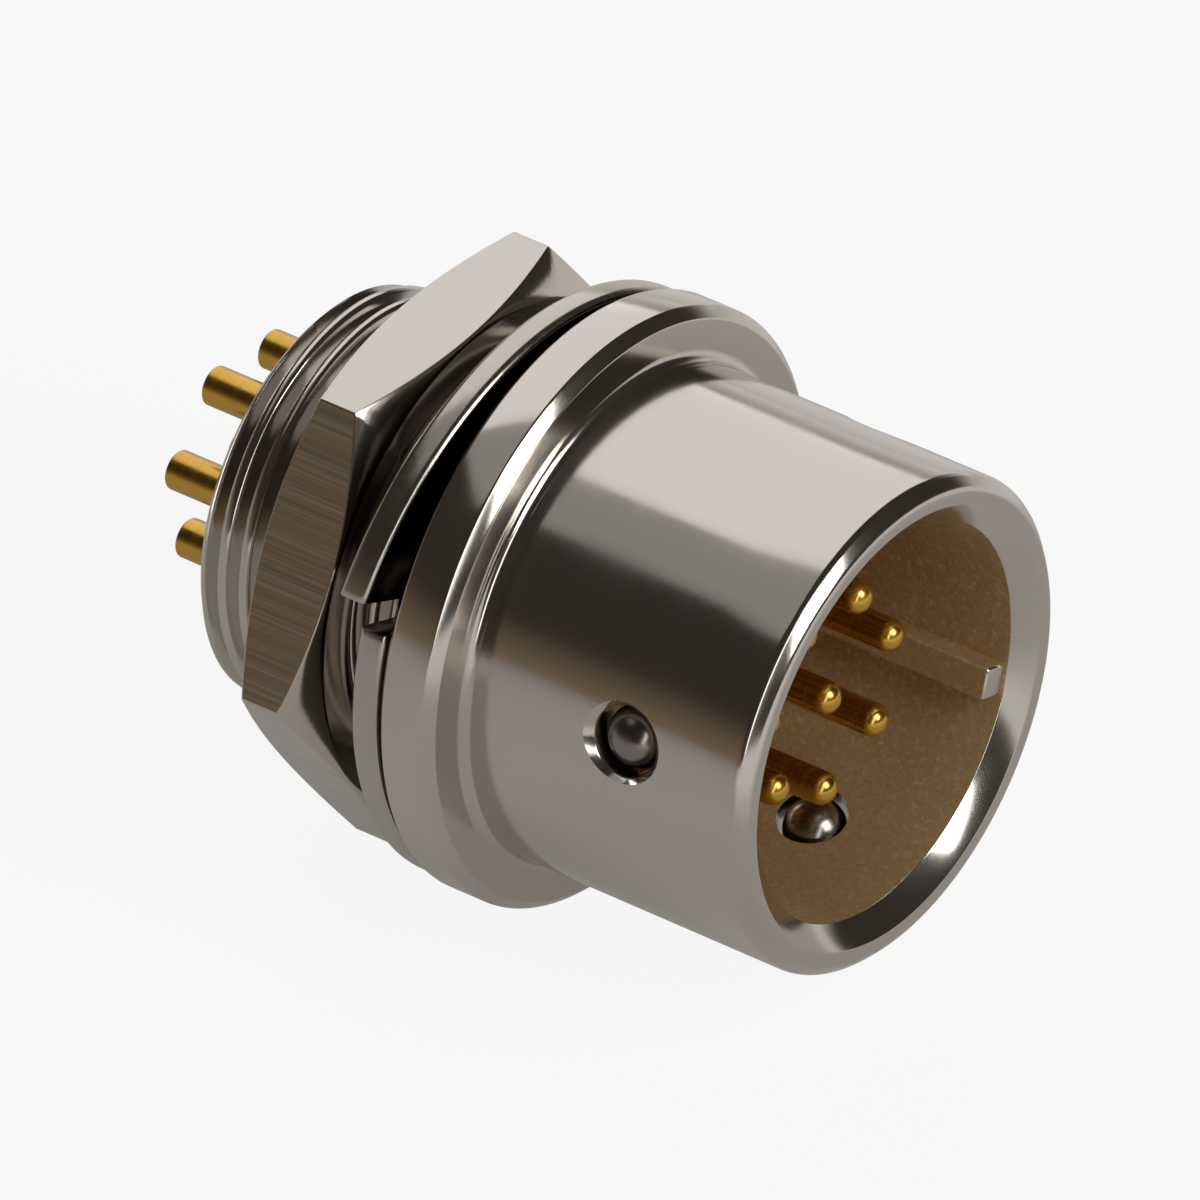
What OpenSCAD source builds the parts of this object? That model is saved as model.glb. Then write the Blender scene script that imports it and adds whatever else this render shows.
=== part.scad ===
// Panel-mount circular connector receptacle with male contacts.
// The axis is +X towards the mating plug, +Z is up, and the origin is the centre
// of the flange's rear face, which seats on the panel. Lengths are millimetres.
// Clock angles turn about the axis, from the top towards the -Y side.

/* [Barrel] */
// Outer diameter of the mating barrel
barrel_d = 15; // [14:0.1:18]
// Length of the barrel in front of the flange
barrel_len = 9.7; // [9:0.1:14]
// Diameter of the mating cavity
cavity_d = 12; // [11:0.1:12.6]
// Rounding of the rim's outer edge
rim_round = 0.9; // [0.2:0.05:0.9]
// Chamfer inside the rim, across and deep
mouth_chamfer = 0.55; // [0.2:0.05:0.7]
// Fillet where the barrel meets the flange
root_fillet = 0.2; // [0.1:0.05:0.6]

/* [Lock holes] */
// Diameter of a lock hole
lock_hole_d = 2.1; // [1.4:0.1:2.6]
// Distance from the rim to the centre of the lock holes
lock_setback = 4.3; // [2.5:0.1:5]
// Width of the bevel round a lock hole
lock_bevel = 0.25; // [0.1:0.05:0.4]
// Play of a lock ball in its hole, on the radius
ball_clearance = 0.1; // [0.04:0.02:0.2]
// How far the lock balls sit below the barrel's surface
ball_sink = 0.03; // [0.01:0.01:0.3]
// Clock angle of the first lock hole
lock_clock = 76.5; // [0:0.5:120]

/* [Key] */
// Width of the polarising key in the cavity
key_w = 1; // [0.8:0.1:2]
// How far the key stands into the cavity
key_h = 0.9; // [0.4:0.05:1]
// Distance of the key's front end behind the mouth chamfer
key_setback = 0.1; // [0.05:0.05:5]
// Clock angle of the key
key_clock = 253; // [225:1:280]

/* [Flange] */
// How far the panel flange reaches past the nut's corners
flange_margin = 0.05; // [0:0.05:1.5]
// Thickness of the panel flange
flange_t = 1.95; // [1.5:0.05:3]
// Chamfer on the flange's edges
flange_chamfer = 0.22; // [0.1:0.02:0.4]

/* [Threaded shank] */
// Outside diameter of the fine thread on the shank
thread_d = 12.5; // [12:0.1:14]
// Pitch of the thread, one turn of the nut
thread_pitch = 0.75; // [0.5:0.25:1]
// Length of the shank behind the flange
shank_len = 8.5; // [8:0.05:12]
// Chamfer at the shank's end
shank_chamfer = 0.3; // [0.2:0.05:0.5]
// Length of the thread relief behind the flange
relief_len = 0.8; // [0.4:0.1:1.2]
// How far the thread relief goes below the thread's root
relief_margin = 0.04; // [0.02:0.02:0.2]
// Diameter of the rear bore that holds the insulators
rear_bore_d = 10; // [9.6:0.1:10.4]
// Diameter of the opening in the seat lip
lip_d = 8.6; // [8.2:0.1:9]
// Thickness of the seat lip at the bottom of the cavity
lip_t = 0.8; // [0.5:0.05:1.2]

/* [Hex nut] */
// Wall of the nut between its thread and its flats
nut_wall = 1.55; // [1.2:0.05:2.5]
// Thickness of the nut
nut_t = 2.6; // [2:0.1:3.5]
// Distance from the panel face to the nut as it sits
nut_gap = 2.8; // [2.6:0.05:3.2]
// Angle of the chamfers that round off the nut's corners
nut_chamfer_angle = 27; // [15:1:35]
// How far inside the flats the chamfers start
nut_chamfer_inset = 0.12; // [0.02:0.02:0.3]
// Clock angle of one of the nut's corners
nut_clock = 35.5; // [0:0.5:60]
// Width of the lead-in at each end of the nut's bore
nut_lead = 0.35; // [0.1:0.05:0.6]
// Running clearance between the nut and the thread, on the radius
nut_clearance = 0.05; // [0.02:0.01:0.1]

/* [Spring washer] */
// How far the split spring washer's edge stays inside the flange's edge
washer_inset = 0.15; // [0:0.05:0.8]
// Thickness of the washer
washer_t = 0.95; // [0.6:0.05:1]
// How far the free end lifts off the flange
washer_lift = 0.95; // [0.4:0.05:1.2]
// Clock angle of the split
washer_clock = 69; // [0:1:180]
// Opening of the split, in degrees
washer_split = 7; // [3:1:15]
// Chamfer along the washer's edges
washer_chamfer = 0.12; // [0.05:0.01:0.2]
// Clearance between the washer and the thread, on the radius
washer_clearance = 0.2; // [0.1:0.05:0.4]

/* [Contacts] */
// Diameter of the circle that the outer contacts stand on
contact_circle_d = 6; // [5.6:0.1:6.4]
// Clock angle of the first outer contact
contact_clock = 74; // [0:1:360]
// Diameter of a contact pin
pin_d = 1; // [0.8:0.05:1.1]
// Distance of the pin tips behind the rim
pin_setback = 2.15; // [1.5:0.05:4]
// Diameter of a contact where it sits in the front insulator
seat_d = 1.35; // [1.35:0.05:1.5]
// How far that seat stands out of the front insulator
seat_reach = 0.2; // [0.1:0.05:0.6]
// Diameter of the collar that holds a contact between the insulators
collar_d = 1.8; // [1.6:0.05:2]
// Length of the collar
collar_len = 1.5; // [1:0.1:2]
// Outer diameter of a solder cup
cup_d = 1.2; // [1.1:0.05:1.3]
// Length of the solder cups behind the shank
cup_reach = 3.2; // [2:0.05:6]
// Diameter of the solder cup's bore
cup_bore_d = 0.8; // [0.5:0.05:0.9]
// Depth of the solder cup's bore
cup_bore_depth = 2.8; // [1.5:0.1:3]
// Bevel at the mouth of a solder cup
cup_bevel = 0.08; // [0.02:0.01:0.12]

/* [Insulators] */
// How far the front insulator stands above the cavity's floor
boss_h = 1; // [0.5:0.1:2]
// Length of the front insulator behind the seat lip
front_len = 3.7; // [3:0.1:4.2]
// Length of the rear insulator
rear_len = 4; // [2:0.1:4.5]
// Bevel round the front insulator's face
boss_bevel = 0.2; // [0.05:0.05:0.4]
// Radial clearance of the insulators and contacts in their seats
seat_clearance = 0.03; // [0.01:0.01:0.06]

/* [Retaining ring] */
// Thickness of the retaining ring
ring_t = 0.7; // [0.4:0.05:0.8]
// Width of the retaining ring across its section
ring_w = 0.84; // [0.5:0.02:1]
// Depth of its groove in the rear bore
ring_groove_depth = 0.3; // [0.15:0.05:0.35]
// Opening of the ring, in degrees
ring_opening = 60; // [30:5:90]
// Clearance of the ring in its groove
ring_clearance = 0.06; // [0.03:0.01:0.1]

/* [Hidden] */
$fn = 96;

// Contacts on the outer circle and lock balls round the barrel, as many as are named above
ring_count = 7;
lock_count = 3;

nickel = "#b9b5ad";
gold = "#d0a038";
moulding = "#4a3526";
spring_steel = "#a8a39a";

// Overshoot of a cutting solid past the face that it opens
over = 0.5;

// Radii
barrel_r = barrel_d / 2;
cavity_r = cavity_d / 2;
thread_r = thread_d / 2;
rear_bore_r = rear_bore_d / 2;
lip_r = lip_d / 2;
pin_r = pin_d / 2;
seat_r = seat_d / 2;
collar_r = collar_d / 2;
cup_r = cup_d / 2;
ball_r = lock_hole_d / 2 - ball_clearance;

// Depth of the thread, from its pitch
thread_depth = 0.6134 * thread_pitch;

// The nut is sized from the thread, and the flange covers the nut's corners
nut_flat_r = thread_r + nut_wall;
nut_corner_r = nut_flat_r / cos(30);
flange_r = nut_corner_r + flange_margin;

// Places along the axis, from the rim backwards
rim_x = flange_t + barrel_len;
lock_x = rim_x - lock_setback;
floor_x = flange_t;
lip_rear_x = floor_x - lip_t;
boss_x = floor_x + boss_h;
seat_front_x = boss_x + seat_reach;
insulator_split_x = lip_rear_x - front_len;
insulator_rear_x = insulator_split_x - rear_len;
ring_rear_x = insulator_rear_x - ring_t;
shank_end_x = -shank_len;
cup_end_x = shank_end_x - cup_reach;
tip_x = rim_x - pin_setback;
collar_front_x = insulator_split_x + collar_len;

// Places of the nut
nut_front_x = -nut_gap;
nut_bore_r = thread_r + nut_clearance;
nut_chamfer_r = nut_flat_r - nut_chamfer_inset;
nut_cone_spread = nut_t / tan(nut_chamfer_angle);

// The washer bears on the flange at one end and lifts towards the other
washer_inner_r = thread_r + washer_clearance;
washer_outer_r = flange_r - washer_inset;
washer_steps = 90;
washer_lift_power = 7;
washer_turn = 360 - washer_split;

// Lays a turned solid's Z axis along +X, by a half turn that makes its own angles clock angles
module on_axis(x = 0) {
    translate([x, 0, 0])
        rotate(180, [1, 0, 1])
            children();
}

// Places a child at a clock angle and a radius, with its own Z pointing outwards
module at_clock(angle, radius) {
    rotate([angle, 0, 0])
        translate([0, 0, radius])
            children();
}

// Places a child on the axis line of contact i; the last one is the centre contact
module at_contact(i) {
    if (i < ring_count)
        at_clock(contact_clock + i * 360 / ring_count, contact_circle_d / 2)
            children();
    else
        children();
}

// A round rod along the axis from x0 to x1
module rod(x0, x1, r0, r1 = undef) {
    on_axis(x0)
        cylinder(h = x1 - x0, r1 = r0, r2 = is_undef(r1) ? r0 : r1);
}

// A disc with a chamfer on each edge
module chamfered_disc(x0, x1, r, chamfer) {
    rod(x0, x0 + chamfer, r - chamfer, r);
    rod(x0 + chamfer, x1 - chamfer, r);
    rod(x1 - chamfer, x1, r, r - chamfer);
}

// The barrel's outside: a straight wall, a rounded rim and a fillet at the flange
module barrel_outside() {
    rod(0, rim_x - rim_round, barrel_r);
    rod(0, rim_x, barrel_r - rim_round);
    on_axis(rim_x - rim_round)
        rotate_extrude()
            translate([barrel_r - rim_round, 0])
                circle(r = rim_round);
    on_axis(flange_t)
        rotate_extrude()
            difference() {
                translate([barrel_r - root_fillet, 0])
                    square([2 * root_fillet, root_fillet]);
                translate([barrel_r + root_fillet, root_fillet])
                    circle(r = root_fillet);
            }
}

// The shank at the thread's outside diameter, relieved behind the flange
module shank_outside() {
    rod(shank_end_x, shank_end_x + shank_chamfer, thread_r - shank_chamfer, thread_r);
    rod(shank_end_x + shank_chamfer, -relief_len, thread_r);
    rod(-relief_len, flange_t, thread_r - thread_depth - relief_margin);
}

// The cavity, the seat lip, the rear bore and the groove of the retaining ring
module shell_bores() {
    rod(floor_x, rim_x + over, cavity_r);
    rod(rim_x - mouth_chamfer, rim_x + over, cavity_r, cavity_r + mouth_chamfer + over);
    rod(shank_end_x - over, lip_rear_x, rear_bore_r);
    rod(lip_rear_x - over, floor_x + over, lip_r);
    rod(ring_rear_x - ring_clearance, insulator_rear_x, rear_bore_r + ring_groove_depth);
}

// Places a child on the axis of lock hole i, at a radius, with its own Z pointing outwards
module at_lock(i, radius) {
    translate([lock_x, 0, 0])
        at_clock(lock_clock + i * 360 / lock_count, radius)
            children();
}

// Lock holes through the barrel's wall, bevelled outside
module lock_holes() {
    bevel_d = lock_hole_d + 2 * (lock_bevel + over);
    for (i = [0 : lock_count - 1]) {
        at_lock(i, cavity_r - over)
            cylinder(h = barrel_r - cavity_r + 2 * over, d = lock_hole_d);
        at_lock(i, barrel_r - lock_bevel)
            cylinder(h = lock_bevel + over, d1 = lock_hole_d, d2 = bevel_d);
    }
}

// The polarising key, a rib along the cavity's wall from its floor almost to its mouth
module key_rib() {
    start_x = floor_x - lip_t / 2;
    end_x = rim_x - mouth_chamfer - key_setback;
    intersection() {
        at_clock(key_clock, cavity_r - key_h)
            translate([start_x, -key_w / 2, 0])
                cube([end_x - start_x, key_w, key_h + (barrel_r - cavity_r) / 2]);
        rod(floor_x - lip_t, rim_x, (cavity_r + barrel_r) / 2);
    }
}

// One turned piece: barrel, flange and threaded shank
module shell() {
    color(nickel) {
        difference() {
            union() {
                barrel_outside();
                chamfered_disc(0, flange_t, flange_r, flange_chamfer);
                shank_outside();
            }
            shell_bores();
            lock_holes();
        }
        key_rib();
    }
}

// A lock ball, sunk in its hole just below the barrel's surface
module lock_ball(i) {
    color(spring_steel)
        at_lock(i, barrel_r - ball_sink - ball_r)
            sphere(r = ball_r);
}

// Holes for all contacts, from x0 to x1
module contact_holes(x0, x1, r) {
    for (i = [0 : ring_count])
        at_contact(i)
            rod(x0, x1, r);
}

// The front moulding: its boss shows in the cavity and its shoulder seats on the lip
module insulator_front() {
    boss_r = lip_r - seat_clearance;
    color(moulding)
        difference() {
            union() {
                rod(insulator_split_x, lip_rear_x, rear_bore_r - seat_clearance);
                rod(lip_rear_x, boss_x - boss_bevel, boss_r);
                rod(boss_x - boss_bevel, boss_x, boss_r, boss_r - boss_bevel);
            }
            contact_holes(insulator_split_x - over, boss_x + over, seat_r + seat_clearance);
            contact_holes(insulator_split_x - over, collar_front_x, collar_r + seat_clearance);
        }
}

// The rear moulding, which traps the collars of the contacts
module insulator_rear() {
    color(moulding)
        difference() {
            rod(insulator_rear_x, insulator_split_x, rear_bore_r - seat_clearance);
            contact_holes(insulator_rear_x - over, insulator_split_x + over, cup_r + seat_clearance);
        }
}

// The open ring that snaps into the groove and holds both mouldings
module retaining_ring() {
    ring_outer_r = rear_bore_r + ring_groove_depth - ring_clearance;
    color(spring_steel)
        on_axis(ring_rear_x)
            rotate([0, 0, ring_opening / 2])
                rotate_extrude(angle = 360 - ring_opening)
                    translate([ring_outer_r - ring_w, 0])
                        square([ring_w, ring_t]);
}

// A turned contact: a domed pin, its seat, a collar and a drilled solder cup
module contact(i) {
    color(gold)
        at_contact(i)
            difference() {
                union() {
                    rod(seat_front_x, tip_x - pin_r, pin_r);
                    rod(collar_front_x, seat_front_x, seat_r);
                    translate([tip_x - pin_r, 0, 0])
                        sphere(r = pin_r);
                    rod(insulator_split_x, collar_front_x, collar_r);
                    rod(cup_end_x + cup_bevel, insulator_split_x, cup_r);
                    rod(cup_end_x, cup_end_x + cup_bevel, cup_r - cup_bevel, cup_r);
                }
                rod(cup_end_x - over, cup_end_x + cup_bore_depth, cup_bore_d / 2);
            }
}

// Rise of the washer towards its free end, at a share u of its turn
function washer_rise(u) = washer_lift * pow(u, washer_lift_power);

// Section of the washer, a rectangle with small chamfers: [radius, depth behind the flange]
function washer_section() =
    let (r0 = washer_inner_r, r1 = washer_outer_r, t = washer_t, c = washer_chamfer)
    [
        [r0 + c, 0], [r1 - c, 0], [r1, c], [r1, t - c],
        [r1 - c, t], [r0 + c, t], [r0, t - c], [r0, c]
    ];

// One corner of the section, carried round to step k
function washer_point(corner, k) =
    let (
        u = k / washer_steps,
        angle = washer_clock + washer_split / 2 + u * washer_turn
    )
    [
        -corner[1] - washer_rise(u),
        -corner[0] * sin(angle),
        corner[0] * cos(angle)
    ];

// The split spring washer, swept round the shank from its seated end to its free end
module spring_washer() {
    section = washer_section();
    n = len(section);
    points = [for (k = [0 : washer_steps], corner = section) washer_point(corner, k)];
    walls = [
        for (k = [0 : washer_steps - 1], j = [0 : n - 1])
            let (a = k * n + j, b = k * n + (j + 1) % n)
            [b, a, a + n, b + n]
    ];
    seated_end = [for (j = [0 : n - 1]) j];
    free_end = [for (j = [0 : n - 1]) washer_steps * n + n - 1 - j];
    color(spring_steel)
        polyhedron(points = points, faces = concat(walls, [seated_end, free_end]), convexity = 4);
}

// A hexagon whose corners are rounded off by a shallow cone from each side
module chamfered_hexagon(rear_x) {
    intersection() {
        rotate([nut_clock, 0, 0])
            on_axis(rear_x - over)
                cylinder(h = nut_t + 2 * over, r = nut_corner_r, $fn = 6);
        rod(rear_x, nut_front_x, nut_chamfer_r, nut_chamfer_r + nut_cone_spread);
        rod(rear_x, nut_front_x, nut_chamfer_r + nut_cone_spread, nut_chamfer_r);
    }
}

// The thin hexagon nut that clamps the panel
module hex_nut() {
    rear_x = nut_front_x - nut_t;
    lead_r = nut_bore_r + nut_lead + over;
    color(nickel)
        difference() {
            chamfered_hexagon(rear_x);
            rod(rear_x - over, nut_front_x + over, nut_bore_r);
            rod(rear_x - over, rear_x + nut_lead, lead_r, nut_bore_r);
            rod(nut_front_x - nut_lead, nut_front_x + over, nut_bore_r, lead_r);
        }
}

shell();
insulator_front();
insulator_rear();
retaining_ring();
contact(0);  // contact_1
contact(1);  // contact_2
contact(2);  // contact_3
contact(3);  // contact_4
contact(4);  // contact_5
contact(5);  // contact_6
contact(6);  // contact_7
contact(7);  // contact_8
lock_ball(0);  // lock_ball_1
lock_ball(1);  // lock_ball_2
lock_ball(2);  // lock_ball_3
spring_washer();
hex_nut();
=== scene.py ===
"""Panel-mount circular connector receptacle, dressed round the packed frame."""
import math

import bmesh
import bpy
from bpy.props import FloatProperty, FloatVectorProperty, IntProperty, PointerProperty
from mathutils import Matrix, Vector


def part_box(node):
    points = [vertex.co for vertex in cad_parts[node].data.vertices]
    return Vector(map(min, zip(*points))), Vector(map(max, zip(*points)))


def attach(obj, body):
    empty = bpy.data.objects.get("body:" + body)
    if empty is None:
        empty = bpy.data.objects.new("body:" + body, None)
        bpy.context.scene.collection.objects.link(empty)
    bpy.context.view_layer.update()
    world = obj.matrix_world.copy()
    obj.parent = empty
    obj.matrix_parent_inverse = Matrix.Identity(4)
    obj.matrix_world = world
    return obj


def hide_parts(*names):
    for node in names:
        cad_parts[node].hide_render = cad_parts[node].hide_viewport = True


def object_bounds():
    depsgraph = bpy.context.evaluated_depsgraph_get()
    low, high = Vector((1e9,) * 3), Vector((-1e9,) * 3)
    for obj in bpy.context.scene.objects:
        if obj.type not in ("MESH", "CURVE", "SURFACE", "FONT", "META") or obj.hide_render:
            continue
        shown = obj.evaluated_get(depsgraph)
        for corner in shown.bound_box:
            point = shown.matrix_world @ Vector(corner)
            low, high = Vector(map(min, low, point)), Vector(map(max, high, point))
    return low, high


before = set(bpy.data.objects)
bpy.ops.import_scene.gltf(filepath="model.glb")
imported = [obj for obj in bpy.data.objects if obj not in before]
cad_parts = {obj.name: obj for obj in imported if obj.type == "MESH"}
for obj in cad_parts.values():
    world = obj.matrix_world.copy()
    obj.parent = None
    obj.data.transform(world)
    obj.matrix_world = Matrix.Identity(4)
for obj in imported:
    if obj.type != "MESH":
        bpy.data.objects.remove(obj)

bl_info = {
    "name": "Circular connector receptacle",
    "version": (1, 0, 0),
    "blender": (4, 5, 0),
    "location": "View3D > Sidebar > Connector",
    "description": "Models a panel-mount circular connector with its spring washer and nut",
    "category": "Object",
}

MM = 0.001
FULL_TURN = 2 * math.pi
CAD_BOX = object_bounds()
SHELL_LO, SHELL_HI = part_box("shell")
NUT_LO, NUT_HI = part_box("hex_nut")
PIN_LO, PIN_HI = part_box("contact_8")
BALL_LO, BALL_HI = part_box("lock_ball_1")
FRONT_LO, FRONT_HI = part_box("insulator_front")
REAR_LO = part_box("insulator_rear")[0]
RING_LO, RING_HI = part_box("retaining_ring")
CONTACTS = 8
LOCK_BALLS = 3
# points nearer than this, in metres, are one point
WELD = 1e-7
# how far a cutting tool reaches past what it cuts
OVER = 0.5 * MM
# edges that turn by less than this are shaded smooth
SMOOTH_BELOW = math.radians(28)
# the ends of the range that most of a noise texture's values lie in
NOISE_LOW, NOISE_HIGH = 0.3, 0.7


def length(name, description, metres):
    """A size of the connector, in metres."""
    return FloatProperty(name=name, description=description, default=metres, min=-1.0, max=1.0,
                         precision=5, subtype="DISTANCE", unit="LENGTH")


def clock(name, description, degrees):
    """An angle of the connector, given in degrees."""
    return FloatProperty(name=name, description=description, default=math.radians(degrees),
                         subtype="ANGLE", unit="ROTATION")


def linear(code):
    """An sRGB hex colour as linear red, green, blue and alpha."""
    channels = [int(code[i:i + 2], 16) / 255 for i in (1, 3, 5)]
    return [c / 12.92 if c <= 0.04045 else ((c + 0.055) / 1.055) ** 2.4 for c in channels] + [1.0]


def paint(name, description, code):
    """A finish's colour, given as an sRGB hex value."""
    return FloatVectorProperty(name=name, description=description, default=linear(code), size=4,
                               min=0.0, max=1.0, subtype="COLOR")


def group(name, kind):
    """One group of the settings."""
    return PointerProperty(name=name, description=kind.__doc__, type=kind)


class ShellSizes(bpy.types.PropertyGroup):
    """Sizes of the turned shell."""
    rim_x: length("Rim", "Place of the barrel's rim along the axis", SHELL_HI.x)
    end_x: length("Shank end", "Place of the shank's end along the axis", SHELL_LO.x)
    flange_r: length("Flange radius", "Radius of the panel flange", SHELL_HI.z)
    flange_t: length("Flange thickness", "Thickness of the panel flange", 1.95 * MM)
    flange_chamfer: length("Flange chamfer", "Chamfer on the flange's edges", 0.32 * MM)
    barrel_r: length("Barrel radius", "Radius of the mating barrel", 7.5 * MM)
    cavity_r: length("Cavity radius", "Radius of the mating cavity", 6.0 * MM)
    rim_chamfer: length("Rim chamfer", "Chamfer on the rim's outer edge", 0.36 * MM)
    rim_round: length("Rim rounding", "Rounding at both ends of the rim's chamfer", 0.12 * MM)
    mouth_chamfer: length("Mouth chamfer", "Depth of the chamfer inside the rim", 0.55 * MM)
    mouth_flare: length("Mouth flare", "Radial width of the chamfer inside the rim", 0.7 * MM)
    root_fillet: length("Root fillet", "Fillet where the barrel meets the flange", 0.35 * MM)
    lip_r: length("Lip radius", "Radius of the opening in the seat lip", 4.3 * MM)
    lip_t: length("Lip thickness", "Thickness of the seat lip", 0.8 * MM)
    bore_r: length("Rear bore radius", "Radius of the bore that holds the insulators", 5.0 * MM)
    groove_depth: length("Groove depth", "Depth of the retaining ring's groove", 0.3 * MM)
    key_w: length("Key width", "Width of the polarising key", 1.0 * MM)
    key_h: length("Key height", "How far the key stands into the cavity", 0.84 * MM)
    key_setback: length("Key setback", "Distance of the key's front end behind the mouth chamfer",
                        0.1 * MM)
    key_round: length("Key rounding", "Rounding of the key's edges", 0.12 * MM)
    key: clock("Key", "Clock angle of the key", 253)
    edge_break: length("Edge break", "Rounding of the shell's turned edges", 0.04 * MM)
    end_round: length("End rounding", "Rounding of both edges of the shank's end", 0.12 * MM)
    floor_round: length("Floor rounding", "Rounding at the cavity's floor", 0.15 * MM)
    turn_steps: IntProperty(name="Turning steps", description="Faces round the shell", default=288,
                            subtype="UNSIGNED")


class LockSizes(bpy.types.PropertyGroup):
    """Sizes of the lock holes and their balls."""
    x: length("Lock place", "Place of the lock holes along the axis", (BALL_LO.x + BALL_HI.x) / 2)
    hole_r: length("Lock hole radius", "Radius of a lock hole", 1.05 * MM)
    bevel: length("Lock bevel", "Bevel round a lock hole", 0.25 * MM)
    edge_round: length("Lock edge", "Rounding between a lock hole and its bevel", 0.06 * MM)
    band: length("Lock band", "Half the length of the faces that hold the lock holes", 1.7 * MM)
    ball_r: length("Ball radius", "Radius of a lock ball", (BALL_HI.x - BALL_LO.x) / 2)
    ball_sink: length("Ball sink", "How far a ball sits below the barrel's surface", 0.03 * MM)
    first: clock("First lock hole", "Clock angle of the first lock hole", 76.5)


class ThreadSizes(bpy.types.PropertyGroup):
    """Sizes of the thread on the shank."""
    crest_r: length("Crest radius", "Radius of the thread's crest", 6.25 * MM)
    pitch: length("Pitch", "Distance between the thread's turns", 0.75 * MM)
    depth: length("Depth", "Depth of the thread", 0.4 * MM)
    crest_w: length("Crest", "Width of the thread's rounded crest", 0.26 * MM)
    crest_round: length("Crest rounding", "Rounding of the crest's edges", 0.11 * MM)
    flank: clock("Flank", "Angle of a flank to a plane across the axis", 30)
    end_chamfer: length("End chamfer", "Chamfer at the shank's end", 0.3 * MM)
    relief_len: length("Relief", "Length of the plain relief behind the flange", 0.8 * MM)
    relief_depth: length("Relief depth", "How far the relief lies below the root", 0.04 * MM)


class NutSizes(bpy.types.PropertyGroup):
    """Sizes of the hexagon nut."""
    front_x: length("Nut front", "Place of the nut's front face", NUT_HI.x)
    rear_x: length("Nut rear", "Place of the nut's rear face", NUT_LO.x)
    flat_r: length("Flat radius", "Distance from the axis to a flat", 7.8 * MM)
    chamfer_inset: length("Chamfer inset", "How far inside the flats the chamfers start", 0.12 * MM)
    chamfer: clock("Chamfer angle", "Angle of the chamfers on the corners", 27)
    corner: clock("Corner", "Clock angle of a corner", 35.5)
    bore_r: length("Nut bore", "Radius of the nut's bore", 6.3 * MM)
    lead: length("Lead-in", "Width of the lead-in at each end of the bore", 0.35 * MM)
    edge_break: length("Nut edge break", "Rounding of the nut's edges", 0.06 * MM)


class WasherSizes(bpy.types.PropertyGroup):
    """Sizes of the split spring washer."""
    inner_r: length("Washer bore", "Inner radius of the washer", 6.45 * MM)
    outer_r: length("Washer radius", "Outer radius of the washer", SHELL_HI.z - 0.15 * MM)
    thickness: length("Washer thickness", "Thickness of the washer", 0.95 * MM)
    lift: length("Lift", "How far the free end stands off the flange", 0.95 * MM)
    lift_power: FloatProperty(name="Lift power", description="How late the washer starts to lift",
                              default=7.0, min=1.0, max=20.0, subtype="FACTOR")
    round: length("Washer rounding", "Rounding along the washer's edges", 0.24 * MM)
    end_break: length("Washer edge break", "Rounding of the edges at the split", 0.05 * MM)
    split_at: clock("Split", "Clock angle of the split", 69)
    split: clock("Split opening", "Opening of the split", 4)


class ContactSizes(bpy.types.PropertyGroup):
    """Sizes of a contact and of the contact circle."""
    tip_x: length("Tip", "Place of the pin tips", PIN_HI.x)
    end_x: length("Cup end", "Place of the solder cups' ends", PIN_LO.x)
    circle_r: length("Contact circle", "Radius of the circle of outer contacts", 3.0 * MM)
    pin_r: length("Pin radius", "Radius of a contact pin", 0.5 * MM)
    seat_r: length("Seat radius", "Radius of the contact's seat", 0.675 * MM)
    seat_x: length("Seat front", "Place of the seat's shoulder", FRONT_HI.x + 0.2 * MM)
    collar_r: length("Collar radius", "Radius of the contact's collar", 0.9 * MM)
    collar_len: length("Collar length", "Length of the contact's collar", 1.5 * MM)
    cup_r: length("Cup radius", "Radius of a solder cup", 0.6 * MM)
    cup_bore_r: length("Cup bore", "Radius of a solder cup's bore", 0.4 * MM)
    cup_depth: length("Cup depth", "Depth of a solder cup's bore", 2.8 * MM)
    cup_point: length("Cup point", "Depth of the drill's point at the bottom of a cup", 0.2 * MM)
    cup_round: length("Cup rounding", "Rounding outside the mouth of a solder cup", 0.08 * MM)
    mouth_round: length("Mouth rounding", "Rounding inside the mouth of a solder cup", 0.04 * MM)
    shoulder_round: length("Shoulder rounding", "Rounding of the collar and the seat", 0.05 * MM)
    tip_round: FloatProperty(name="Tip rounding", default=0.97, min=0.0, max=1.0, subtype="FACTOR",
                             description="Share of the pin's radius that is rounded at its tip")
    play: length("Play", "Radial play of the contacts in the insulators", 0.03 * MM)
    first: clock("First contact", "Clock angle of the first outer contact", 74)


class InsulatorSizes(bpy.types.PropertyGroup):
    """Sizes of the two insulator mouldings."""
    face_round: length("Face rounding", "Rounding of the front moulding's face", 0.2 * MM)
    rear_round: length("Rear rounding", "Rounding of the rear moulding's edge", 0.15 * MM)
    countersink: length("Countersink", "Width of the countersink at a contact's hole", 0.1 * MM)


class RingSizes(bpy.types.PropertyGroup):
    """Sizes of the open retaining ring."""
    width: length("Ring width", "Radial width of the ring", 0.84 * MM)
    play: length("Ring play", "Play of the ring in its groove", 0.06 * MM)
    round: length("Ring rounding", "Rounding of the ring's edges", 0.08 * MM)
    opening: clock("Ring opening", "Opening of the ring", 60)


class Finishes(bpy.types.PropertyGroup):
    """Colours of the finishes."""
    nickel: paint("Nickel", "Polished nickel plate", "#cfc8c0")
    steel: paint("Spring steel", "Plated spring steel", "#c4beb4")
    # painted shade: the dark colour of the washer's faces stands in for the shade in the gaps
    # beside them
    strip: paint("Steel strip", "Colour of the washer's rolled faces", "#57524b")
    bore: paint("Bore", "Dull brass in the cavity", "#cdb384")
    # the lock balls' steel colour is darkened below bearing steel's, painted shade of the holes
    # they sit in
    ball: paint("Lock ball", "Tumbled bearing steel", "#958f87")
    gold: paint("Gold", "Gold plate", "#dcae50")
    moulding: paint("Moulding", "Tan insulator moulding", "#8a6a3e")
    floor: paint("Floor", "Studio floor", "#e8e6e2")


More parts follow.
